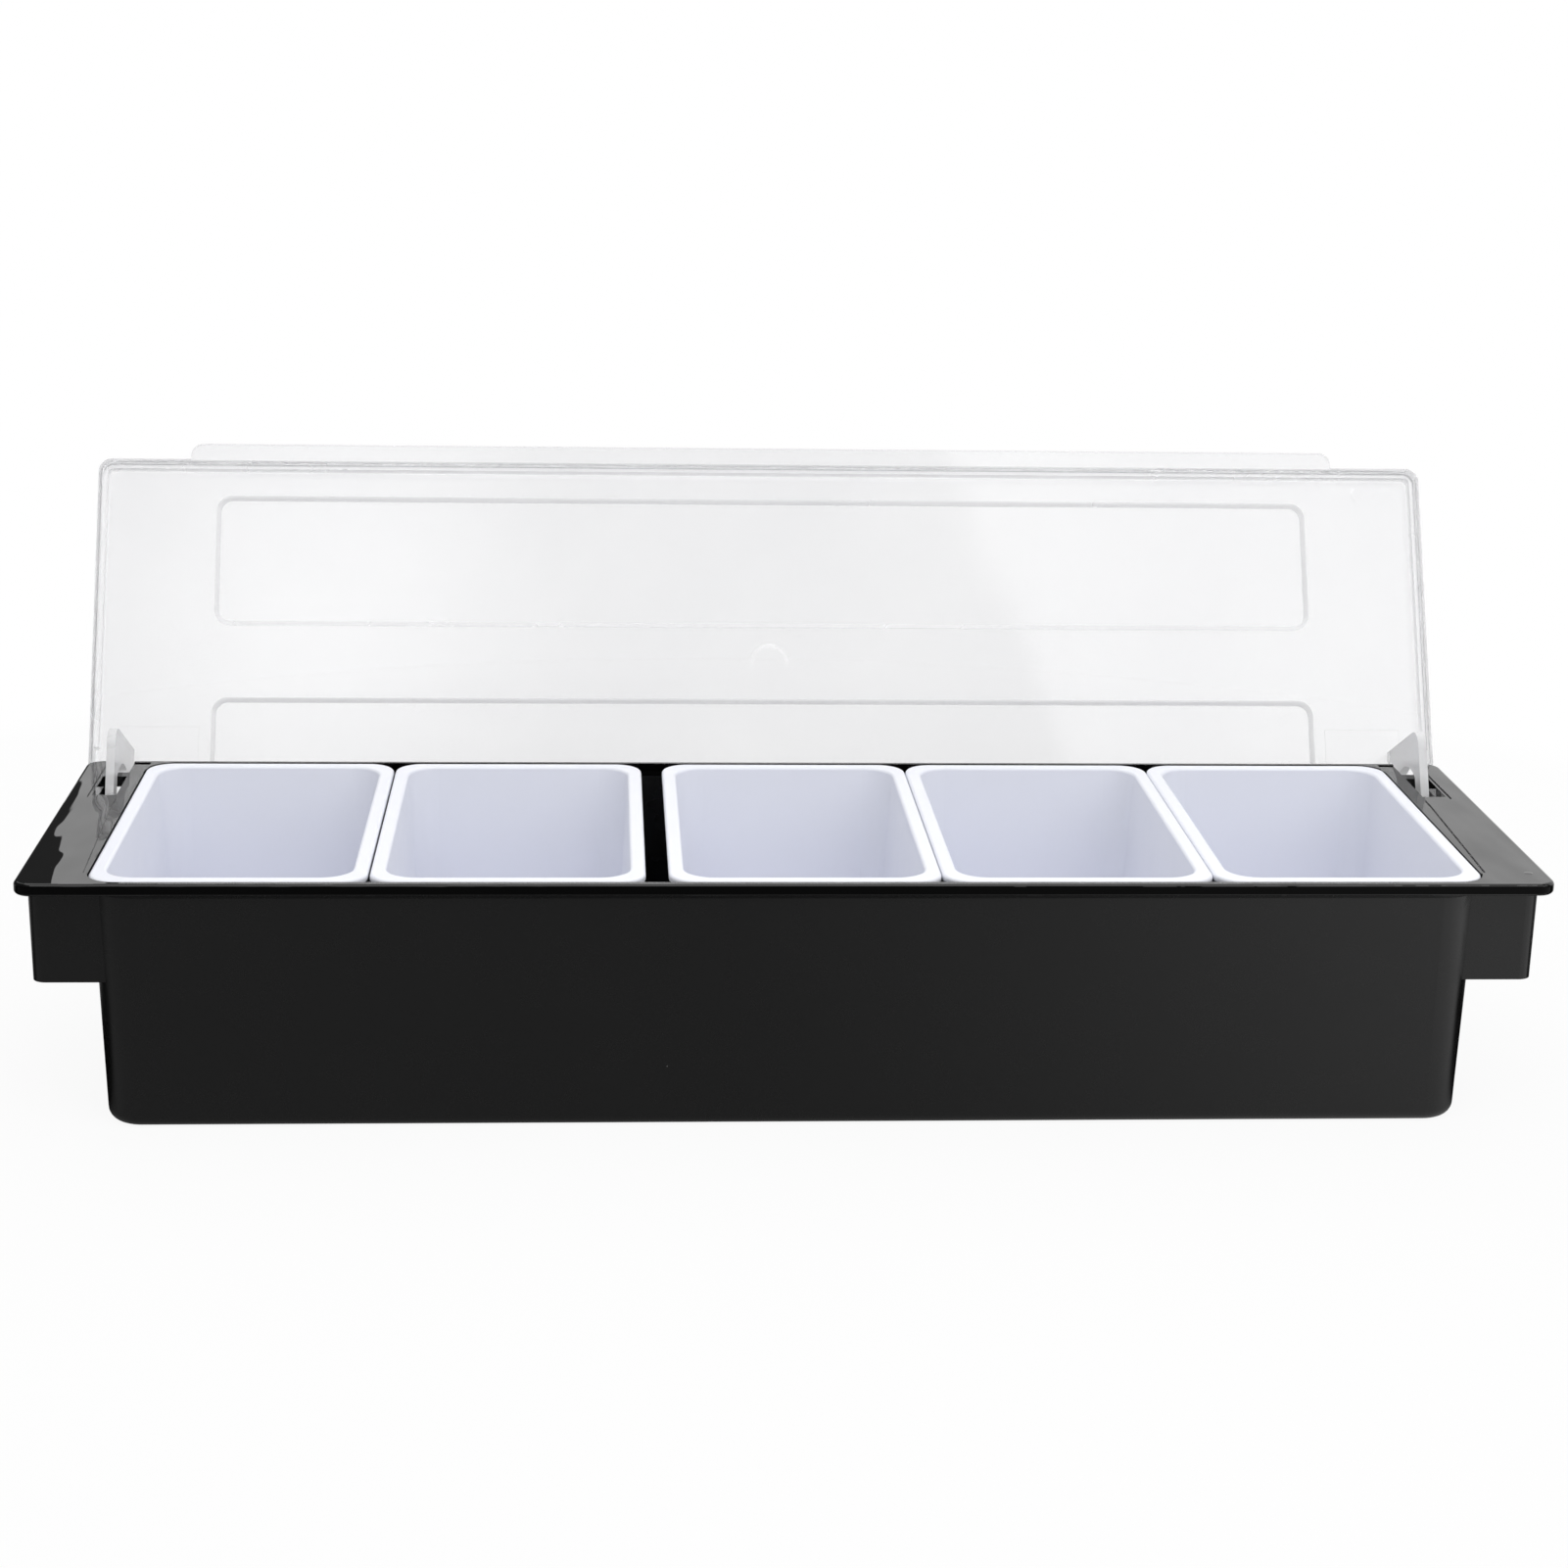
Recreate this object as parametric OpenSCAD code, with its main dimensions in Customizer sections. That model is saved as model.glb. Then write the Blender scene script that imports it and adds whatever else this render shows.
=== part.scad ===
/* [Tray rim] */
// Length of the rim, left to right
rim_w = 496.6; // [470:0.2:520]
// Depth of the rim, front to rear
rim_d = 150; // [140:1:170]
// Height of the rim above the table
rim_h = 84.5; // [80:0.5:110]
// Thickness of the rim and of the end flanges
rim_t = 4.2; // [3.2:0.1:5]
// Radius of the rim's corners seen from above
rim_r = 6; // [4:0.5:12]
// Rounding of the rim's outer edges
rim_edge_r = 1.3; // [0.5:0.1:1.6]
// Width of the rim strip along the front and rear
rim_strip = 2.8; // [2.5:0.1:6]
// Width of the end flange, from the rim's end to the lip recess
flange_w = 22; // [21:0.1:30]

/* [Tray tub] */
// Width of the step inside the lip recess, front and rear
ledge_side = 2; // [1.5:0.1:3]
// Width of the step inside the lip recess, at the ends
ledge_end = 3.3; // [2:0.1:4]
// Wall thickness of the tub
tub_wall = 2.5; // [2:0.1:3.5]
// Floor thickness of the tub
tub_floor = 3; // [2:0.1:5]
// Corner radius of the tub's outside at the top
tub_r = 14; // [11:0.5:22]
// How far each tub wall leans in from top to bottom
tub_lean = 2.2; // [0.5:0.1:3]
// Fillet round the foot of the tub
tub_foot_r = 4.5; // [1:0.5:6]
// Fillet round the floor inside the tub
tub_inner_r = 3; // [2:0.5:6]

/* [End grips] */
// Depth of the grips below the rim's top
grip_h = 35.2; // [25:0.1:45]
// Wall thickness of the grips
grip_wall = 2.4; // [1.8:0.1:3]
// How far the rim overhangs the grips at the ends
grip_inset_end = 3.2; // [2:0.1:5]
// How far the rim overhangs the grips at the front and rear
grip_inset_side = 7; // [4:0.1:9]
// Corner radius of the grips
grip_r = 5; // [4:0.5:10]
// How far the grip walls lean in from top to bottom
grip_lean = 0.4; // [0.2:0.1:1.5]

/* [Hinge slots] */
// Distance from the rim's end to the slot
slot_from_end = 8.5; // [8:0.1:9.5]
// Width of each slot
slot_w = 8.4; // [7:0.1:9]
// Distance from the rim's rear edge to the slot
slot_from_rear = 20.5; // [20:0.1:21]
// Length of each slot, front to rear
slot_l = 24.1; // [23.6:0.1:30]
// Width of the hinge bar behind each slot
bar_w = 5.5; // [3:0.1:7]
// Depth of the notch behind the bar, down from the rim's top
notch_h = 14.5; // [6:0.5:20]
// Width of the low band beside the lip recess, at the slot
band_w = 4.6; // [3:0.1:4.8]
// Width of the low band at its front end
band_tip = 1.4; // [0.5:0.1:3]
// How far the band and the slot's surround lie below the rim's top
band_h = 0.4; // [0.2:0.1:0.8]
// Margin of the low surround in front of each slot
surround = 5; // [2:0.5:10]

/* [Inserts] */
// Number of inserts to the left of the gap
inserts_left = 2; // [0:1:5]
// Gap between the left and the right group of inserts
group_gap = 7.4; // [1:0.1:30]
// Gap between the lips and the recess, front and rear
lip_gap = 0.6; // [0.3:0.1:1.2]
// Gap between the outermost lips and the recess's ends
end_gap = 0.5; // [0.3:0.1:1.5]
// Gap between two inserts of the left group
left_gap = 0.6; // [0.3:0.1:1.5]
// Gap between two inserts of the right group
right_gap = 0.3; // [0.2:0.1:1.5]
// Thickness of an insert's lip
lip_t = 2.8; // [2:0.1:3]
// Gap between the lip and the step it rests on
seat_gap = 0.2; // [0.2:0.1:0.4]
// Width of an insert's flat lip
lip_w = 5; // [4.6:0.1:7]
// Corner radius of an insert's lip
lip_r = 9.5; // [8:0.5:14]
// Corner radius of an insert's body under the lip
body_r = 12; // [8:0.5:16]
// Wall thickness of an insert
insert_wall = 1.8; // [1.4:0.1:2.2]
// Space between the tub floor and the inserts
floor_gap = 5.5; // [2:0.5:40]
// How far each insert wall leans in from top to bottom
insert_lean = 3.6; // [3:0.1:5]
// Fillet round the floor inside an insert
insert_floor_r = 6; // [3:0.5:8]

/* [Lid] */
// Gap between the lid's skirt and the rim at the ends
skirt_gap = 0.4; // [0.3:0.1:1]
// Gap between the lid's skirt and the rim at the front
front_gap = 0.9; // [0.3:0.1:1.5]
// Overhang of the lid's plate past the rim at the rear
rear_over = 1.6; // [1.2:0.1:1.7]
// Thickness of the skirt
skirt_t = 1.3; // [1.1:0.1:2]
// Depth of the skirt below the underside of the lid's plate
skirt_h = 7.5; // [7.5:0.1:9]
// How far the closed skirt reaches down past the rim's top
skirt_lap = 2.5; // [1:0.1:2.5]
// Depth of the low lip along the lid's rear edge
rear_lip_h = 2; // [1:0.1:2]
// Thickness of the lid's plate
plate_t = 2.2; // [1.6:0.1:3]
// Corner radius of the lid
lid_r = 5; // [4:0.5:8]
// Rounding of the lid's upper edge
lid_edge_r = 2; // [0.5:0.1:2.8]
// Width of the rest rib inside the front and side walls
rib_w = 1.6; // [1.2:0.1:3]
// Gap between the rest rib and the rim's top when closed
rest_gap = 0.2; // [0.2:0.1:0.6]
// Distance of the lifting lip from the lid's ends
lift_side = 34; // [20:0.5:120]
// How far the lifting lip stands out
lift_d = 6; // [3:0.5:12]
// Thickness of the lifting lip
lift_t = 2; // [1.5:0.1:3]
// Corner radius of the lifting lip
lift_r = 4.5; // [1:0.5:5]

/* [Lid panels] */
// Margin from the lid's ends to the raised panels
panel_side = 43; // [40:0.5:80]
// Margin from the lid's front edge to the raised panels
panel_front = 11.9; // [10:0.1:24]
// Margin from the lid's rear edge to the raised panels
panel_rear = 14.1; // [10:0.1:24]
// Distance between the two raised panels
panel_gap = 27.8; // [14:0.1:50]
// Corner radius of the raised panels
panel_r = 6; // [4:0.5:12]
// Width of the bevel round each panel
panel_bevel = 1.6; // [0.8:0.1:3]
// Height of the raised panels
panel_h = 0.8; // [0.4:0.1:1.4]
// Gap between the panels and the raised hinge pads
pad_gap = 4.5; // [2:0.5:10]
// Thickness of the raised hinge pads
pad_t = 0.5; // [0.3:0.1:0.8]

/* [Hinge arms] */
// Distance of the hinge line in front of the rim's rear edge
pivot_in = 13.7; // [13.5:0.1:13.8]
// Distance of the hinge line below the rim's top
pivot_down = 16.9; // [16.8:0.1:17.1]
// Angle of the open lid from closed
open_angle = 116.8; // [0:0.1:116.8]
// Thickness of each arm
arm_t = 3; // [2:0.1:4]
// Gap between the arm and the slot's outer side
arm_gap = 2.2; // [1:0.1:2.5]
// Gap between the closed arm and the slot's front edge
arm_front_gap = 2.1; // [1.5:0.1:3]
// Gap between the closed arm and the slot's rear edge
arm_rear_gap = 4.5; // [3:0.1:5]
// Clearance of the hook round the hinge bar
arm_clear = 0.5; // [0.35:0.05:0.7]
// Distance of the hook's inner floor below the hinge line
hook_drop = 14.6; // [13:0.1:15]
// Thickness of the foot of the hook
foot_t = 6.9; // [4:0.1:7]
// Length of the foot from the arm's front edge
foot_l = 28.3; // [22:0.1:30]
// Outer corner radius of the hook
hook_r = 7; // [5:0.5:9]

/* [Hidden] */
$fn = 96;
eps = 0.01;

// Lip recess, the opening that the insert lips lie in
recess_w = rim_w - 2 * flange_w;
recess_d = rim_d - 2 * rim_strip;
recess_h = lip_t + seat_gap;
recess_r = lip_r + end_gap;
recess_z = rim_h - recess_h;

// Tub: distances out are measured from the centres of its corners
tub_in_w = recess_w - 2 * ledge_end;
tub_in_d = recess_d - 2 * ledge_side;
tub_cx = tub_in_w / 2 + tub_wall - tub_r;
tub_cy = tub_in_d / 2 + tub_wall - tub_r;
tub_top = rim_h - rim_t;
flare = 1.2;

// End grips
grip_x = rim_w / 2 - grip_inset_end;
grip_y = rim_d / 2 - grip_inset_side;
grip_bottom = rim_h - grip_h;

// Hinge slots, as distances from the middle of the tray
slot_x1 = rim_w / 2 - slot_from_end;
slot_x0 = slot_x1 - slot_w;
slot_y1 = rim_d / 2 - slot_from_rear;
slot_y0 = slot_y1 - slot_l;
notch_y0 = slot_y1 + bar_w;
band_x = recess_w / 2 + band_w;

// Inserts
insert_count = 5;
run_l = recess_w - 2 * end_gap;
gaps_l = group_gap + (inserts_left - 1) * left_gap + (insert_count - inserts_left - 1) * right_gap;
insert_w = (run_l - gaps_l) / insert_count;
lip_d = recess_d - 2 * lip_gap;
body_w = insert_w - 2 * (lip_w - insert_wall);
body_d = lip_d - 2 * (lip_w - insert_wall);
insert_z = tub_floor + floor_gap;
insert_h = rim_h - insert_z;

// Lid, closed, with its skirt's lower edge at skirt_z
lid_w = rim_w + 2 * (skirt_gap + skirt_t);
lid_front = -rim_d / 2 - front_gap - skirt_t;
lid_rear = rim_d / 2 + rear_over;
lid_d = lid_rear - lid_front;
lid_y = (lid_front + lid_rear) / 2;
lid_h = skirt_h + plate_t;
skirt_z = rim_h - skirt_lap;
under_z = skirt_z + skirt_h;
panel_w = lid_w - 2 * panel_side;
panel_d = (lid_d - panel_gap - panel_front - panel_rear) / 2;
panel_y = (panel_front - panel_rear) / 2;
lift_w = lid_w - 2 * lift_side;

// Hinge line, and the hook's reach round the hinge bar
pivot_y = rim_d / 2 - pivot_in;
pivot_z = rim_h - pivot_down;
arm_r = norm([pivot_y - slot_y1, pivot_down]) + arm_clear;
arm_x1 = slot_x1 - arm_gap;
arm_x0 = arm_x1 - arm_t;
arm_y0 = slot_y0 + arm_front_gap;
arm_y1 = slot_y1 - arm_rear_gap;
foot_top = pivot_z - hook_drop;
foot_z = foot_top - foot_t;
foot_end = arm_y0 + foot_l;

// Flat rounded rectangle, centred
module plate_2d(w, d, r) {
    square([w - 2 * r, d], center = true);
    square([w, d - 2 * r], center = true);
    for (sx = [-1, 1], sy = [-1, 1])
        translate([sx * (w / 2 - r), sy * (d / 2 - r)]) circle(r);
}

// Sweeps a profile, drawn as distance out and height, round a rounded rectangle
module sweep_round(cx, cy) {
    for (k = [0:3]) {
        sx = k == 0 || k == 3 ? 1 : -1;
        sy = k < 2 ? 1 : -1;
        along = k % 2 == 0 ? cy : cx;
        translate([sx * cx, sy * cy, 0]) rotate([0, 0, 90 * k])
            rotate_extrude(angle = 90) children();
        translate([k == 0 ? cx : k == 2 ? -cx : 0, k == 1 ? cy : k == 3 ? -cy : 0, 0])
            rotate([0, 0, 90 * k]) rotate([90, 0, 0]) translate([0, 0, -along])
                linear_extrude(2 * along) children();
    }
}

// Quarter circle of points from angle a0 to a1 about (x, y)
function arc(x, y, r, a0, a1, n = 8) = [for (i = [0:n])
    let (a = a0 + (a1 - a0) * i / n) [x + r * cos(a), y + r * sin(a)]];

// Solid with the tub's outer form
module tub_outside() {
    lean = tub_lean / tub_top;
    foot_u = tub_r - tub_lean;
    sweep_round(tub_cx, tub_cy) polygon(concat(
        [[0, 0]],
        arc(foot_u - tub_foot_r, tub_foot_r, tub_foot_r, -90, 0),
        [[tub_r - lean * flare, tub_top - flare], [tub_r + flare, tub_top + eps], [0, tub_top + eps]]));
    translate([-tub_cx, -tub_cy, 0]) cube([2 * tub_cx, 2 * tub_cy, tub_top + eps]);
}

// Space inside the tub
module tub_inside() {
    top_u = tub_r - tub_wall;
    low_u = top_u - tub_lean;
    sweep_round(tub_cx, tub_cy) polygon(concat(
        [[0, tub_floor]],
        arc(low_u - tub_inner_r, tub_floor + tub_inner_r, tub_inner_r, -90, 0),
        [[top_u, tub_top], [top_u, rim_h + 1], [0, rim_h + 1]]));
    translate([-tub_cx, -tub_cy, tub_floor]) cube([2 * tub_cx, 2 * tub_cy, rim_h]);
}

// Rim plate with rounded outer edges
module rim_plate() {
    cx = rim_w / 2 - rim_r;
    cy = rim_d / 2 - rim_r;
    u = rim_r - rim_edge_r;
    sweep_round(cx, cy) polygon(concat(
        [[0, tub_top]],
        arc(u, tub_top + rim_edge_r, rim_edge_r, -90, 0),
        arc(u, rim_h - rim_edge_r, rim_edge_r, 0, 90),
        [[0, rim_h]]));
    translate([-cx, -cy, tub_top]) cube([2 * cx, 2 * cy, rim_t]);
}

// One hollow grip under an end flange, open below
module end_grip() {
    cx = grip_x - grip_r;
    cy = grip_y - grip_r;
    intersection() {
        sweep_round(cx, cy) polygon([
            [grip_r - grip_lean - grip_wall, grip_bottom], [grip_r - grip_lean, grip_bottom],
            [grip_r, tub_top + eps], [grip_r - grip_wall, tub_top + eps]]);
        translate([tub_cx, -rim_d / 2, 0]) cube([rim_w / 2 - tub_cx, rim_d, rim_h]);
    }
}

// Slot for a hinge arm, and the notch behind the hinge bar
module hinge_cuts() {
    translate([slot_x0, slot_y0, tub_top - 1]) cube([slot_w, slot_l, rim_t + 2]);
    translate([slot_x0, notch_y0, rim_h - notch_h]) cube([slot_w, rim_d, rim_h]);
}

// Low band beside the lip recess, with the low surround of the slot
module low_band() {
    x0 = recess_w / 2 - 1;
    x1 = slot_x1 + 1.2;
    y0 = slot_y0 - surround;
    y1 = rim_d / 2 - rim_strip;
    translate([0, 0, rim_h - band_h]) linear_extrude(1) polygon(concat(
        [[x0, recess_r - y1], [recess_w / 2 + band_tip, recess_r - y1], [band_x, y0 - 8], [band_x, y0]],
        arc(x1 - 2, y0 + 2, 2, -90, 0, 6),
        [[x1, y1], [x0, y1]]));
}

module base_tray() {
    color([0.08, 0.08, 0.09]) difference() {
        union() {
            tub_outside();
            rim_plate();
            end_grip();
            mirror([1, 0, 0]) end_grip();
        }
        tub_inside();
        translate([0, 0, recess_z]) linear_extrude(recess_h + 1)
            plate_2d(recess_w, recess_d, recess_r);
        for (m = [0, 1]) mirror([m, 0, 0]) {
            hinge_cuts();
            low_band();
        }
    }
}

// Left edge of an insert's lip: the first ones stand at the left end, the rest at the right
function insert_x(i) = i <= inserts_left
    ? -run_l / 2 + (i - 1) * (insert_w + left_gap)
    : run_l / 2 - insert_w - (insert_count - i) * (insert_w + right_gap);

// Solid swept round a rounded rectangle, with its middle filled between two heights
module swept_block(w, d, r, z0, z1) {
    sweep_round(w / 2 - r, d / 2 - r) children();
    translate([r - w / 2, r - d / 2, z0]) cube([w - 2 * r, d - 2 * r, z1 - z0]);
}

module insert(i) {
    low_r = body_r - insert_lean;
    foot_r = min(insert_floor_r + insert_wall, low_r);
    inner_r = body_r - insert_wall;
    inner_low = inner_r - insert_lean;
    edge = lip_t / 2.6;
    under = insert_h - lip_t;
    color([0.95, 0.95, 0.97]) translate([insert_x(i) + insert_w / 2, 0, insert_z]) difference() {
        union() {
            swept_block(body_w, body_d, body_r, 0, under + eps) polygon(concat(
                [[0, 0]],
                arc(low_r - foot_r, foot_r, foot_r, -90, 0),
                [[body_r, under + eps], [0, under + eps]]));
            swept_block(insert_w, lip_d, lip_r, under, insert_h) polygon(concat(
                [[0, under]],
                arc(lip_r - edge, under + edge, edge, -90, 0),
                arc(lip_r - edge, insert_h - edge, edge, 0, 90),
                [[0, insert_h]]));
        }
        swept_block(body_w - 2 * insert_wall, body_d - 2 * insert_wall, inner_r,
                    insert_wall, insert_h + 1) polygon(concat(
            [[0, insert_wall]],
            arc(inner_low - insert_floor_r, insert_wall + insert_floor_r, insert_floor_r, -90, 0),
            arc(inner_r + edge, insert_h - edge, edge, 180, 90),
            [[inner_r + edge, insert_h + 1], [0, insert_h + 1]]));
    }
}

module insert_1() { insert(1); }
module insert_2() { insert(2); }
module insert_3() { insert(3); }
module insert_4() { insert(4); }
module insert_5() { insert(5); }

// Bevelled panel pressed into the plate, as a solid of height panel_h above z
module panel(z, w, d) {
    cx = w / 2 - panel_r;
    cy = d / 2 - panel_r;
    translate([0, 0, z]) {
        sweep_round(cx, cy) polygon([
            [0, 0], [panel_r, 0], [panel_r - panel_bevel, panel_h], [0, panel_h]]);
        translate([-cx, -cy, 0]) cube([2 * cx, 2 * cy, panel_h]);
    }
}

// Plate and skirt; along the rear the skirt is cut back to a low lip
module lid_shell() {
    cx = lid_w / 2 - lid_r;
    cy = lid_d / 2 - lid_r;
    inner = lid_r - skirt_t;
    difference() {
        union() {
            sweep_round(cx, cy) polygon(concat(
                [[inner, 0], [lid_r, 0]],
                arc(lid_r - lid_edge_r, lid_h - lid_edge_r, lid_edge_r, 0, 90),
                [[0, lid_h], [0, skirt_h], [inner, skirt_h]]));
            translate([-cx, -cy, skirt_h]) cube([2 * cx, 2 * cy, plate_t]);
            for (s = [-1, 1])
                translate([0, panel_y + s * (panel_gap + panel_d) / 2, 0])
                    panel(lid_h, panel_w, panel_d);
        }
        for (s = [-1, 1])
            translate([0, panel_y + s * (panel_gap + panel_d) / 2, 0])
                panel(skirt_h - eps, panel_w, panel_d);
        translate([-lid_w, cy - 1, -1]) cube([2 * lid_w, lid_d, skirt_h - rear_lip_h + 1]);
    }
}

// Rib inside the front and side walls that rests on the rim
module rest_rib() {
    z0 = skirt_lap + rest_gap;
    inner_w = lid_w - 2 * skirt_t;
    inner_d = lid_d - 2 * skirt_t;
    inner_r = lid_r - skirt_t;
    translate([0, 0, z0]) linear_extrude(skirt_h - z0 + eps) difference() {
        intersection() {
            plate_2d(inner_w + eps, inner_d + eps, inner_r);
            translate([-lid_w, -lid_d]) square([2 * lid_w, lid_d + arm_y0 - lid_y]);
        }
        plate_2d(inner_w - 2 * rib_w, inner_d - 2 * rib_w, inner_r - rib_w);
    }
}

module lift_lip() {
    in = lift_d + skirt_t / 2;
    translate([0, -lid_d / 2 - lift_d, 0]) linear_extrude(lift_t) {
        translate([-lift_w / 2 + lift_r, 0]) square([lift_w - 2 * lift_r, in]);
        translate([-lift_w / 2, lift_r]) square([lift_w, in - lift_r]);
        for (s = [-1, 1])
            intersection() {
                translate([s * (lift_w / 2 - lift_r), lift_r]) circle(lift_r);
                translate([-lift_w / 2, 0]) square([lift_w, in]);
            }
    }
}

// Outline of a hinge arm on the closed lid, as distance to the rear and height
module arm_2d() {
    tip = foot_t / 2;
    difference() {
        union() {
            translate([arm_y0, foot_z + hook_r])
                square([arm_y1 - arm_y0, under_z - foot_z - hook_r + plate_t / 2]);
            translate([arm_y0 + hook_r, foot_z]) square([foot_l - hook_r - tip, foot_t]);
            translate([arm_y0 + hook_r, foot_z + hook_r]) circle(hook_r);
            translate([foot_end - tip, foot_z + tip]) circle(tip);
        }
        intersection() {
            translate([pivot_y, pivot_z]) circle(arm_r);
            translate([arm_y0, foot_top]) square([rim_d, rim_d]);
        }
    }
}

// Raised pad on the plate over each hinge arm
module hinge_pad() {
    x0 = panel_w / 2 + pad_gap;
    y0 = slot_y0 - 7;
    translate([x0, y0, under_z + plate_t / 2])
        cube([slot_x1 - x0, slot_y1 - y0, plate_t / 2 + pad_t]);
}

module lid_closed() {
    translate([0, lid_y, skirt_z]) {
        lid_shell();
        rest_rib();
        lift_lip();
    }
    for (m = [0, 1]) mirror([m, 0, 0]) {
        translate([arm_x0, 0, 0]) rotate([90, 0, 90]) linear_extrude(arm_t) arm_2d();
        hinge_pad();
    }
}

module lid() {
    color([0.86, 0.9, 0.93, 0.5])
        translate([0, pivot_y, pivot_z]) rotate([-open_angle, 0, 0])
            translate([0, -pivot_y, -pivot_z]) lid_closed();
}

base_tray();
lid();
insert_1();
insert_2();
insert_3();
insert_4();
insert_5();
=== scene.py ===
import math

import bpy
from mathutils import Matrix, Vector

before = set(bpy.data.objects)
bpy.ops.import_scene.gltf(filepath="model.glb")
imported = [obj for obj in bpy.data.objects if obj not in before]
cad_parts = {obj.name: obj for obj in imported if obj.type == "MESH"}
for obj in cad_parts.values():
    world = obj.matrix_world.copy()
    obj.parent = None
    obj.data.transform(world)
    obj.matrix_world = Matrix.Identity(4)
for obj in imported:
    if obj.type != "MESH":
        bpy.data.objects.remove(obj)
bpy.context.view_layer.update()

# Sizes and places are in metres, in the part's own frame: +X runs along the row of inserts,
# -Y points to the side that the lid opens on, and +Z up from the table.
# A brightness of 1 is the white of the background. The world's x and y are those of a ray's direction.

# ---------------------------------------------------------------- places on the part
RIM_Z = 0.0801  # lower face of the tray's polished rim
RIM_OUTSIDE = (0.245, 0.072)  # the rim's outer edge lies beyond this x or y
UPRIGHT = 0.35  # a face counts as upright while its normal's z is below this
FLANGE_MARK = (0.2418, -0.0627, 0.0845)  # a small moulding mark on the right flange
FLANGE_MARK_RADIUS = 0.0014

LID_TURN = math.radians(116.8)  # from shut to open
LID_OUT = Vector((0, math.sin(LID_TURN), math.cos(LID_TURN)))  # from the open lid's inner face out
LID_UP = Vector((0, -math.cos(LID_TURN), math.sin(LID_TURN)))  # along the open lid, to its front edge
LID_FOOT = Vector((0, 0.0860, 0.0845))  # a point on the plane of its skirt's edge
LID_EDGE = 0.1135  # how far up the plate ends and the lip begins
LID_FLAT = 0.99  # a face lies along the plate from this cosine up
BEVEL_TILT = (0.85, 0.94)  # cosines of the bevels round the raised panels
BEVEL_Z = (0.05, 0.172)
BEVEL_END = 0.2072
ARM_X = (0.2325, 0.2395)
ARM_DEPTH = 0.0072  # how far the hook arms reach out from the skirt's edge
GATE = (0.0007, 0.1093, 0.1141)  # moulding marks on the lid's inner face
GATE_RADIUS = 0.0075
EJECTOR = (0.2288, 0.1395, 0.1738)
EJECTOR_RADIUS = 0.0037

INSERT_PAINTED_SHADE_Z = (0.035, 0.082)  # painted shade: the inserts' colour darkens from the upper to the lower height


# ---------------------------------------------------------------- shader nodes
def new_material(name):
    m = bpy.data.materials.new(name)
    m.use_nodes = True
    nt = m.node_tree
    nt.nodes.clear()
    out = nt.nodes.new("ShaderNodeOutputMaterial")
    bsdf = nt.nodes.new("ShaderNodeBsdfPrincipled")
    nt.links.new(bsdf.outputs["BSDF"], out.inputs["Surface"])
    return m, nt, bsdf, out


def coords(nt):
    return nt.nodes.new("ShaderNodeTexCoord").outputs["Object"]


def feed(nt, socket, value):
    """Set a socket to a value, or link it where the value is another node's output."""
    if isinstance(value, bpy.types.NodeSocket):
        nt.links.new(value, socket)
    else:
        socket.default_value = value


def split(nt, vec):
    """The x, y and z of a vector."""
    sep = nt.nodes.new("ShaderNodeSeparateXYZ")
    nt.links.new(vec, sep.inputs[0])
    return sep.outputs["X"], sep.outputs["Y"], sep.outputs["Z"]


def noise(nt, vec, scale, detail=2.0, rough=0.5):
    n = nt.nodes.new("ShaderNodeTexNoise")
    n.inputs["Scale"].default_value = scale
    n.inputs["Detail"].default_value = detail
    n.inputs["Roughness"].default_value = rough
    nt.links.new(vec, n.inputs["Vector"])
    return n.outputs["Fac"]


def remap(nt, value, lo, hi, to_lo, to_hi):
    """Carry a value smoothly from lo..hi to to_lo..to_hi, and keep it there outside."""
    n = nt.nodes.new("ShaderNodeMapRange")
    n.interpolation_type = "SMOOTHSTEP"
    for key, v in (("From Min", lo), ("From Max", hi), ("To Min", to_lo), ("To Max", to_hi)):
        n.inputs[key].default_value = v
    nt.links.new(value, n.inputs["Value"])
    return n.outputs["Result"]


def math_node(nt, op, a, b):
    n = nt.nodes.new("ShaderNodeMath")
    n.operation = op
    feed(nt, n.inputs[0], a)
    feed(nt, n.inputs[1], b)
    return n.outputs[0]


def invert(nt, value):
    return math_node(nt, "SUBTRACT", 1.0, value)


def vector_node(nt, op, a, b=None):
    """A vector operation, and its number where it gives one."""
    n = nt.nodes.new("ShaderNodeVectorMath")
    n.operation = op
    nt.links.new(a, n.inputs[0])
    if b is not None:
        n.inputs[1].default_value = b
    return n.outputs["Value" if op in ("DISTANCE", "LENGTH") else "Vector"]


def mix_colour(nt, fac, a, b):
    n = nt.nodes.new("ShaderNodeMix")
    n.data_type = "RGBA"
    nt.links.new(fac, n.inputs["Factor"])
    for key, v in (("A", a), ("B", b)):
        feed(nt, [s for s in n.inputs if s.name == key and s.type == "RGBA"][0], v)
    return [s for s in n.outputs if s.type == "RGBA"][0]


def mix_shader(nt, fac, a, b, out):
    """Send shader a to the output where fac is 0, and b where it is 1."""
    mix = nt.nodes.new("ShaderNodeMixShader")
    nt.links.new(fac, mix.inputs["Fac"])
    nt.links.new(a, mix.inputs[1])
    nt.links.new(b, mix.inputs[2])
    nt.links.new(mix.outputs["Shader"], out.inputs["Surface"])


def bump(nt, height, strength, distance, normal=None):
    b = nt.nodes.new("ShaderNodeBump")
    b.inputs["Strength"].default_value = strength
    b.inputs["Distance"].default_value = distance
    nt.links.new(height, b.inputs["Height"])
    if normal is not None:
        nt.links.new(normal, b.inputs["Normal"])
    return b.outputs["Normal"]


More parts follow.
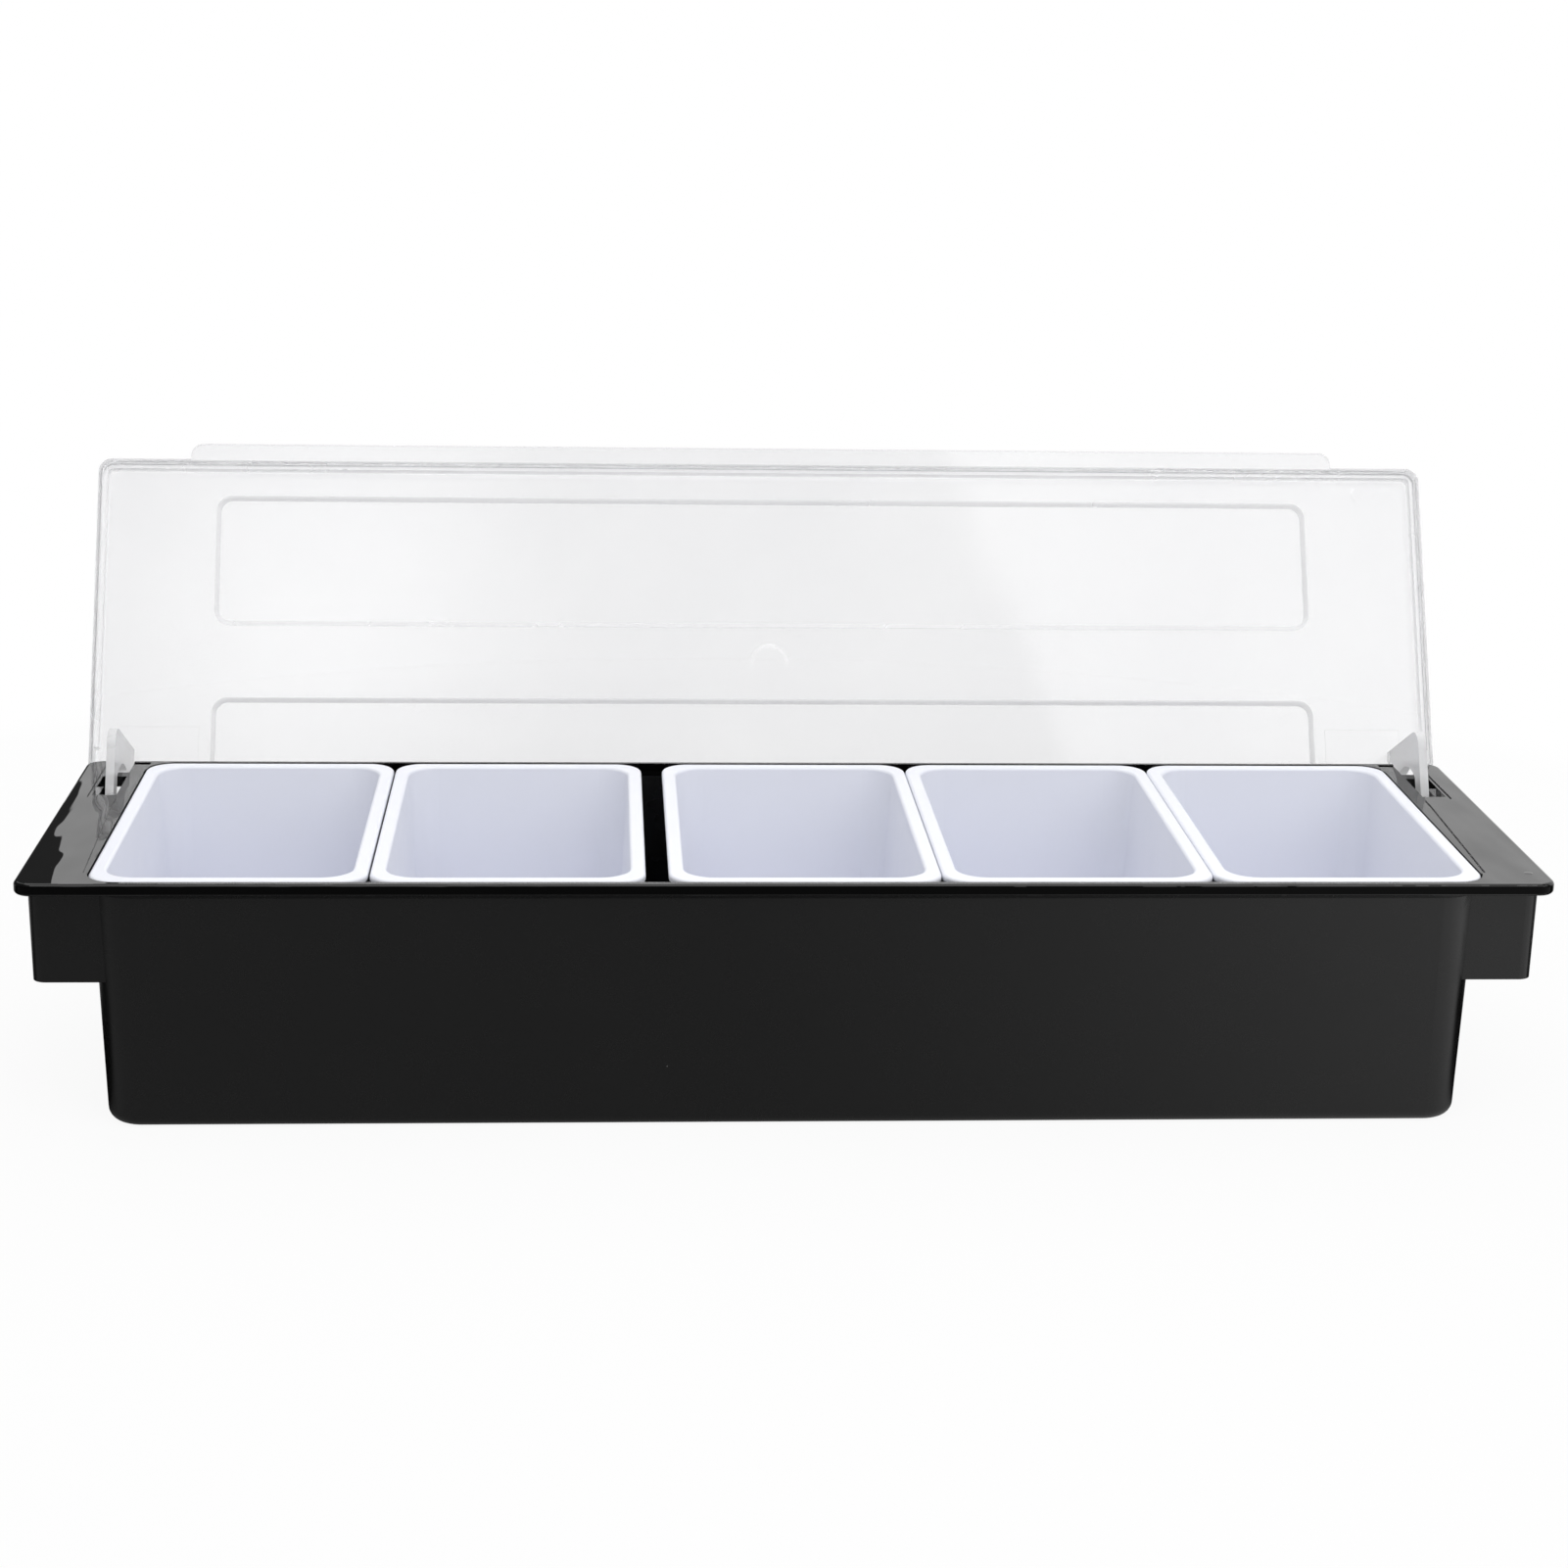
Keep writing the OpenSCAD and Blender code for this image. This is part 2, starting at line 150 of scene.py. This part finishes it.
def specks(nt, vec, cell, size, share):
    """1 inside sparse round dust specks: this share of the cells has one, up to size across."""
    v = nt.nodes.new("ShaderNodeTexVoronoi")
    v.inputs["Scale"].default_value = 1 / cell
    nt.links.new(vec, v.inputs["Vector"])
    sep = nt.nodes.new("ShaderNodeSeparateColor")
    nt.links.new(v.outputs["Color"], sep.inputs["Color"])
    chosen = math_node(nt, "LESS_THAN", sep.outputs[0], share)
    radius = math_node(nt, "MULTIPLY", sep.outputs[1], 0.5 * size / cell)
    near = math_node(nt, "LESS_THAN", v.outputs["Distance"], radius)
    return math_node(nt, "MULTIPLY", chosen, near)


def dimple(nt, vec, centre, radius):
    """1 inside a round moulding mark, falling off over the outer fifth of its radius."""
    away = vector_node(nt, "DISTANCE", vec, centre)
    return remap(nt, away, 0.8 * radius, radius, 1.0, 0.0)


# ---------------------------------------------------------------- materials
PLASTIC_IOR = 1.5
CLEAR_IOR = 1.49
FINE = 0.0001  # height of the fine bump on every plastic
NOISE_MID = (0.3, 0.7)  # where most values of a noise lie
DUST = (0.16, 0.16, 0.16, 1)
WHITE_TOP = ((0.845, 0.86, 0.925, 1), (0.865, 0.88, 0.94, 1))  # clouded from one to the other
# the inserts' colour at the lower height, darkened as painted shade
WHITE_PAINTED_SHADE = ((0.795, 0.81, 0.89, 1), (0.815, 0.83, 0.905, 1))
WHITE_GLOSS = (0.28, 0.42)
CLEAR_SHADE = (0.9, 0.9, 0.91, 1)  # what the lid's plastic lets through to the shadow


def mat_black(name, tone, gloss, level, ripple, grain, stretch=(1, 1, 1), mark=None):
    """Black moulded plastic: tone is its grey, gloss its range of roughness, level its shine,
    ripple the height of its waves, stretch their direction and grain its fine bump."""
    m, nt, p, _ = new_material(name)
    vec = coords(nt)
    p.inputs["IOR"].default_value = PLASTIC_IOR
    p.inputs["Specular IOR Level"].default_value = level
    dark = (0.8 * tone, 0.8 * tone, 0.84 * tone, 1)
    light = (1.2 * tone, 1.2 * tone, 1.2 * tone, 1)
    body = mix_colour(nt, noise(nt, vec, scale=14.0, detail=4.0, rough=0.6), dark, light)
    dust = specks(nt, vec, cell=0.014, size=0.0011, share=0.25)
    nt.links.new(mix_colour(nt, dust, body, DUST), p.inputs["Base Color"])
    worn = noise(nt, vec, scale=40.0, detail=5.0, rough=0.65)
    nt.links.new(remap(nt, worn, 0.3, 0.75, *gloss), p.inputs["Roughness"])
    relief = bump(nt, noise(nt, vec, scale=1400.0), strength=grain, distance=FINE)
    waves = noise(nt, vector_node(nt, "MULTIPLY", vec, stretch), scale=26.0, detail=1.5)
    relief = bump(nt, waves, strength=1.0, distance=ripple, normal=relief)
    if mark:
        relief = bump(nt, dimple(nt, vec, mark, FLANGE_MARK_RADIUS),
                      strength=1.0, distance=0.0006, normal=relief)
    nt.links.new(relief, p.inputs["Normal"])
    return m


def mat_white():
    """The inserts' white plastic. Its deeper tone low down stands in for shading in the photo."""
    m, nt, p, _ = new_material("insert_white")
    vec = coords(nt)
    p.inputs["IOR"].default_value = PLASTIC_IOR
    cloudy = noise(nt, vec, scale=22.0, detail=3.0, rough=0.55)
    body = mix_colour(nt, cloudy, *WHITE_TOP)
    # painted shade: the inserts' colour is mixed darker towards the lower height
    painted_shade_colour = mix_colour(nt, cloudy, *WHITE_PAINTED_SHADE)
    painted_shade_mask = remap(nt, split(nt, vec)[2], *INSERT_PAINTED_SHADE_Z, 1.0, 0.0)
    nt.links.new(mix_colour(nt, painted_shade_mask, body, painted_shade_colour), p.inputs["Base Color"])
    worn = noise(nt, vec, scale=60.0, detail=4.0, rough=0.6)
    nt.links.new(remap(nt, worn, *NOISE_MID, *WHITE_GLOSS), p.inputs["Roughness"])
    fine = bump(nt, noise(nt, vec, scale=900.0, detail=3.0), strength=0.10, distance=FINE)
    nt.links.new(fine, p.inputs["Normal"])
    return m


def mat_clear(name, clear_part, base, gloss, wavy=False):
    """Clear plastic: clear_part is the share of light that passes, the rest is milky."""
    m, nt, p, out = new_material(name)
    vec = coords(nt)
    p.inputs["IOR"].default_value = CLEAR_IOR
    p.inputs["Transmission Weight"].default_value = clear_part
    cloudy = noise(nt, vec, scale=9.0, detail=3.0, rough=0.6)
    grain = noise(nt, vec, scale=1100.0, detail=2.0, rough=0.7)
    milk = math_node(nt, "ADD", math_node(nt, "MULTIPLY", cloudy, 0.5),
                     math_node(nt, "MULTIPLY", grain, 0.5))
    dull = (base - 0.03, base - 0.03, base - 0.02, 1)
    bright = (base + 0.02, base + 0.02, base + 0.025, 1)
    body = mix_colour(nt, remap(nt, milk, *NOISE_MID, 0.0, 1.0), dull, bright)
    nt.links.new(body, p.inputs["Base Color"])
    nt.links.new(remap(nt, cloudy, *NOISE_MID, *gloss), p.inputs["Roughness"])
    relief = bump(nt, grain, strength=0.035, distance=FINE)
    if wavy:
        waves = noise(nt, vec, scale=18.0, detail=1.5)
        relief = bump(nt, waves, strength=0.10, distance=0.0010, normal=relief)
    marks = math_node(nt, "ADD", dimple(nt, vec, GATE, GATE_RADIUS),
                      dimple(nt, vec, EJECTOR, EJECTOR_RADIUS))
    relief = bump(nt, marks, strength=0.5, distance=0.00015, normal=relief)
    nt.links.new(relief, p.inputs["Normal"])
    path = nt.nodes.new("ShaderNodeLightPath")
    clear = nt.nodes.new("ShaderNodeBsdfTransparent")
    clear.inputs["Color"].default_value = CLEAR_SHADE
    mix_shader(nt, path.outputs["Is Shadow Ray"], p.outputs["BSDF"], clear.outputs["BSDF"], out)
    return m


TRAY_MATERIALS = (  # in the order of tray_slot
    mat_black("tray_black", tone=0.0045, gloss=(0.24, 0.34), level=0.5, ripple=0.00006, grain=0.08),
    mat_black("tray_rim", tone=0.003, gloss=(0.006, 0.016), level=0.5, ripple=0.0012, grain=0.006,
              stretch=(2.0, 0.6, 2.0), mark=FLANGE_MARK),
    mat_black("tray_rim_edge", tone=0.0015, gloss=(0.10, 0.20), level=0.08, ripple=0.0001, grain=0.02))
WHITE = mat_white()
LID_MATERIALS = (  # in the order of lid_slot
    mat_clear("lid_clear", clear_part=0.90, base=0.885, gloss=(0.03, 0.06), wavy=True),
    mat_clear("lid_bevel", clear_part=0.60, base=0.82, gloss=(0.20, 0.30)),
    mat_clear("lid_edge", clear_part=0.70, base=0.97, gloss=(0.25, 0.35)),
    mat_clear("lid_arm", clear_part=0.45, base=0.86, gloss=(0.20, 0.35)))


def tray_slot(face):
    """0 for the walls, 1 for the polished top of the rim, 2 for the rim's upright outer edge."""
    if face.center.z < RIM_Z:
        return 0
    outer = abs(face.center.x) > RIM_OUTSIDE[0] or abs(face.center.y) > RIM_OUTSIDE[1]
    return 2 if outer and abs(face.normal.z) < UPRIGHT else 1


def lid_slot(face):
    """0 for the clear plate, 1 for the bevels round its panels, 2 for its edges, 3 for its arms."""
    c = face.center
    tilt = abs(face.normal.dot(LID_OUT))
    bevel = BEVEL_TILT[0] < tilt < BEVEL_TILT[1]
    if bevel and BEVEL_Z[0] < c.z < BEVEL_Z[1] and abs(c.x) < BEVEL_END:
        return 1
    if ARM_X[0] < abs(c.x) < ARM_X[1] and (c - LID_FOOT).dot(LID_OUT) < ARM_DEPTH:
        return 3
    return 2 if tilt < LID_FLAT and (c - LID_FOOT).dot(LID_UP) < LID_EDGE else 0


def dress(node, materials, slot=lambda face: 0):
    node.data.materials.clear()
    for m in materials:
        node.data.materials.append(m)
    for face in node.data.polygons:
        face.material_index = slot(face)


for name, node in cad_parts.items():
    if name == "base_tray":
        dress(node, TRAY_MATERIALS, tray_slot)
    elif name == "lid":
        dress(node, LID_MATERIALS, lid_slot)
    else:
        dress(node, (WHITE,))


# ---------------------------------------------------------------- floor and world
FLOOR_SIZE = 12
FLOOR_GREY = (0.8, 0.8, 0.8, 1)
FLOOR_WHITE = 0.92  # share of plain white near the object, where the rest keeps its shadow
SHADOW_REACH = (0.26, 0.60)  # the floor turns all white between these distances
# seen in gloss, the floor is white behind the tray, and in front it gets lighter to the right
GLOSS_BEHIND_Y = (0.0, 0.2)
GLOSS_FRONT_Y = (-0.075, -0.05)
GLOSS_FRONT_X = (-0.05, 0.50)
GLOSS_FRONT_LEVEL = (0.26, 1.0)

WORLD_LIGHT = 0.55  # soft light on the object
STUDIO = 0.06  # how bright the unlit studio is, seen in gloss
STUDIO_LEFT = (-0.183, -0.180)  # at the left it ends where a ray's x over its y is between these
STUDIO_FRONT_Y = (0.0, 0.15)  # and in front where its y is between these
LEAST_Y = 0.05  # keeps that ratio finite


def rays(nt):
    """1 for rays that show the background as it is, and 1 for rays off gloss alone."""
    path = nt.nodes.new("ShaderNodeLightPath")
    through = path.outputs["Is Transmission Ray"]
    off = math_node(nt, "SUBTRACT", path.outputs["Is Glossy Ray"], through)
    seen = math_node(nt, "MAXIMUM", path.outputs["Is Camera Ray"], through)
    return seen, math_node(nt, "MAXIMUM", off, 0.0)


def dimmed(nt, off, lit):
    """The brightness lit for rays off gloss, and 1 for all others."""
    return invert(nt, math_node(nt, "MULTIPLY", off, invert(nt, lit)))


def floor_material():
    m, nt, p, out = new_material("floor")
    p.inputs["Base Color"].default_value = FLOOR_GREY
    p.inputs["Roughness"].default_value = 0.9
    vec = coords(nt)
    x, y, _ = split(nt, vec)
    away = remap(nt, vector_node(nt, "LENGTH", vec), *SHADOW_REACH, 0.0, 1.0)
    behind = remap(nt, y, *GLOSS_BEHIND_Y, 0.0, 1.0)
    front = math_node(nt, "MULTIPLY", remap(nt, y, *GLOSS_FRONT_Y, 1.0, 0.0),
                      remap(nt, x, *GLOSS_FRONT_X, *GLOSS_FRONT_LEVEL))
    seen, off = rays(nt)
    by_eye = math_node(nt, "MULTIPLY", seen, math_node(nt, "MAXIMUM", away, FLOOR_WHITE))
    white = nt.nodes.new("ShaderNodeEmission")
    nt.links.new(dimmed(nt, off, math_node(nt, "MAXIMUM", behind, front)), white.inputs["Strength"])
    mix_shader(nt, math_node(nt, "MAXIMUM", by_eye, off),
               p.outputs["BSDF"], white.outputs["Emission"], out)
    return m


bpy.ops.mesh.primitive_plane_add(size=FLOOR_SIZE, location=(0, 0, 0))
floor = bpy.context.object
floor.name = "floor"
floor.data.materials.append(floor_material())


def background(nt, strength):
    n = nt.nodes.new("ShaderNodeBackground")
    n.inputs["Color"].default_value = (1, 1, 1, 1)
    feed(nt, n.inputs["Strength"], strength)
    return n.outputs["Background"]


def make_world():
    """White to the eye and through the lid, and soft light on the object. Off gloss alone, the
    studio to the left and in front of the white sheet is dark."""
    world = bpy.data.worlds.new("world")
    bpy.context.scene.world = world
    world.use_nodes = True
    nt = world.node_tree
    nt.nodes.clear()
    out = nt.nodes.new("ShaderNodeOutputWorld")
    x, y, _ = split(nt, nt.nodes.new("ShaderNodeTexCoord").outputs["Generated"])
    side = math_node(nt, "DIVIDE", x, math_node(nt, "MAXIMUM", y, LEAST_Y))
    seen, off = rays(nt)
    lit = math_node(nt, "MINIMUM", remap(nt, side, *STUDIO_LEFT, STUDIO, 1.0),
                    remap(nt, y, *STUDIO_FRONT_Y, STUDIO, 1.0))
    mix_shader(nt, math_node(nt, "MAXIMUM", seen, off),
               background(nt, WORLD_LIGHT), background(nt, dimmed(nt, off, lit)), out)


make_world()


# ---------------------------------------------------------------- lamps
TRAY_MIDDLE = (0, 0, 0.05)


def aim(o, place, target):
    o.location = place
    o.rotation_euler = (Vector(target) - Vector(place)).to_track_quat("-Z", "Y").to_euler()


def soften(light):
    """Fade a softbox from near its middle to nothing at its edges. Both are in its own 0 to 1."""
    light.use_nodes = True
    nt = light.node_tree
    place = nt.nodes.new("ShaderNodeNewGeometry").outputs["Parametric"]
    middle = (0.5, 0.5, 0.0)
    away = vector_node(nt, "DISTANCE", place, middle)
    emission = [n for n in nt.nodes if n.type == "EMISSION"][0]
    nt.links.new(remap(nt, away, 0.05, 0.5, 1.0, 0.0), emission.inputs["Strength"])


def softbox(name, place, target, size, brightness, faded=False):
    data = bpy.data.lights.new(name, "AREA")
    data.shape = "RECTANGLE"
    data.size, data.size_y = size
    data.energy = brightness * math.pi * data.size * data.size_y
    if faded:
        soften(data)
    o = bpy.data.objects.new(name, data)
    bpy.context.scene.collection.objects.link(o)
    aim(o, place, target)


softbox("key", (1.15, -0.60, 0.75), (0.05, 0, 0.06), size=(0.6, 0.6), brightness=1.3)
softbox("top", (0.0, 0.15, 1.7), TRAY_MIDDLE, size=(2.0, 1.2), brightness=0.88)
softbox("front", (0.0, -0.8, 1.7), TRAY_MIDDLE, size=(1.5, 0.8), brightness=2.1)
# the next two also show in the lid
softbox("glow", (-0.32, -1.1, 1.2), (-0.185, 0.1, 0.12), size=(0.5, 0.7), brightness=1.3, faded=True)
softbox("side", (0.80, -1.0, 1.15), (0, 0.09, 0.12), size=(1.0, 0.9), brightness=1.0)
softbox("back", (0.0, 1.3, 1.3), TRAY_MIDDLE, size=(2.2, 1.0), brightness=0.9)


# ---------------------------------------------------------------- camera
SENSOR = 36.0  # in mm
PHOTO_PIXELS = 1601.0  # the photo's width
FOCAL_PIXELS = 3058.042
CAMERA_PLACE = (-0.0618853, -0.9870473, 0.3727192)
# in radians, where more is to the left, down and clockwise
YAW, PITCH, ROLL = -0.06269471, 0.27192846, -0.01864847


def camera_turn():
    forward = Vector((-math.sin(YAW) * math.cos(PITCH), math.cos(YAW) * math.cos(PITCH),
                      -math.sin(PITCH)))
    right = Vector((math.cos(YAW), math.sin(YAW), 0))
    down = forward.cross(right)
    rolled_right = math.cos(ROLL) * right + math.sin(ROLL) * down
    rolled_down = -math.sin(ROLL) * right + math.cos(ROLL) * down
    return Matrix((rolled_right, -rolled_down, -forward)).transposed()


cam_data = bpy.data.cameras.new("camera")
cam_data.sensor_width = SENSOR
cam_data.lens = FOCAL_PIXELS / PHOTO_PIXELS * SENSOR
cam_data.clip_start, cam_data.clip_end = 0.01, 50
camera = bpy.data.objects.new("camera", cam_data)
bpy.context.scene.collection.objects.link(camera)
camera.matrix_world = Matrix.Translation(CAMERA_PLACE) @ camera_turn().to_4x4()
bpy.context.scene.camera = camera

bpy.context.scene.view_settings.view_transform = "Standard"
